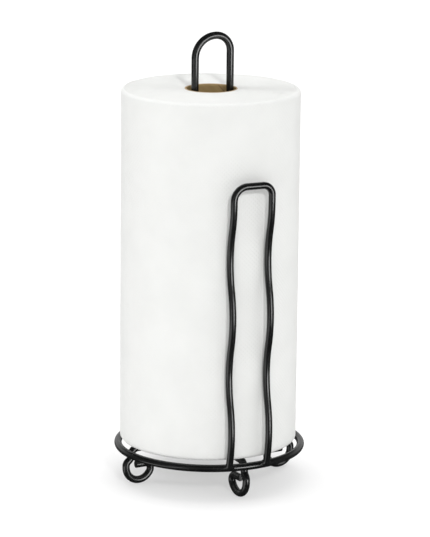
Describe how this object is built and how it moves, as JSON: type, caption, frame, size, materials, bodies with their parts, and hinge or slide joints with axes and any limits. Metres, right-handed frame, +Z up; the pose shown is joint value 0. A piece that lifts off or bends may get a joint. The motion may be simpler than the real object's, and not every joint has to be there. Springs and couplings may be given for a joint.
{
  "type": "paper towel holder",
  "caption": "Free-standing black wire paper towel holder: ring base on scroll feet, looped centre post, wavy spring arm, with a full paper roll.",
  "frame": {"origin": "on the table plane, under the middle of the post", "axes": "+Z up along the post, -Y towards the tension arm, the post's flat loop in the XZ plane"},
  "size_m": [0.1504, 0.1554, 0.3556],
  "materials": {
    "black_wire": "semi-gloss black powder coat",
    "black_weld": "semi-gloss black powder coat over weld beads",
    "cardboard": "matt brown board, spiral wound",
    "paper": "matt white absorbent paper"
  },
  "bodies": {
    "base": {"base_ring": "black_wire", "leg_wire_front": "black_wire", "leg_wire_back": "black_wire", "post_loop": "black_wire", "ring_welds": "black_weld", "hub_welds": "black_weld", "post_welds": "black_weld", "arm_welds": "black_weld"},
    "arm": {"tension_arm": "black_wire"},
    "core": {"core_tube": "cardboard"},
    "paper": {"paper_roll": "paper"}
  },
  "joints": [
    {"name": "arm_flex", "type": "hinge", "parent": "base", "child": "arm", "pos_m": [0, -0.07387, 0.02986], "axis": [1, 0, 0], "range_deg": [0, 4], "stiffness_Nm_per_rad": 30, "springref_deg": -1.72},
    {"name": "roll_lift", "type": "slide", "parent": "base", "child": "core", "axis": [0, 0, 1], "range_m": [0, 0.325]},
    {"name": "roll_spin", "type": "hinge", "parent": "core", "child": "paper", "pos_m": [-0.0012, 0, 0.1722], "axis": [0, 0, 1], "continuous": true}
  ]
}
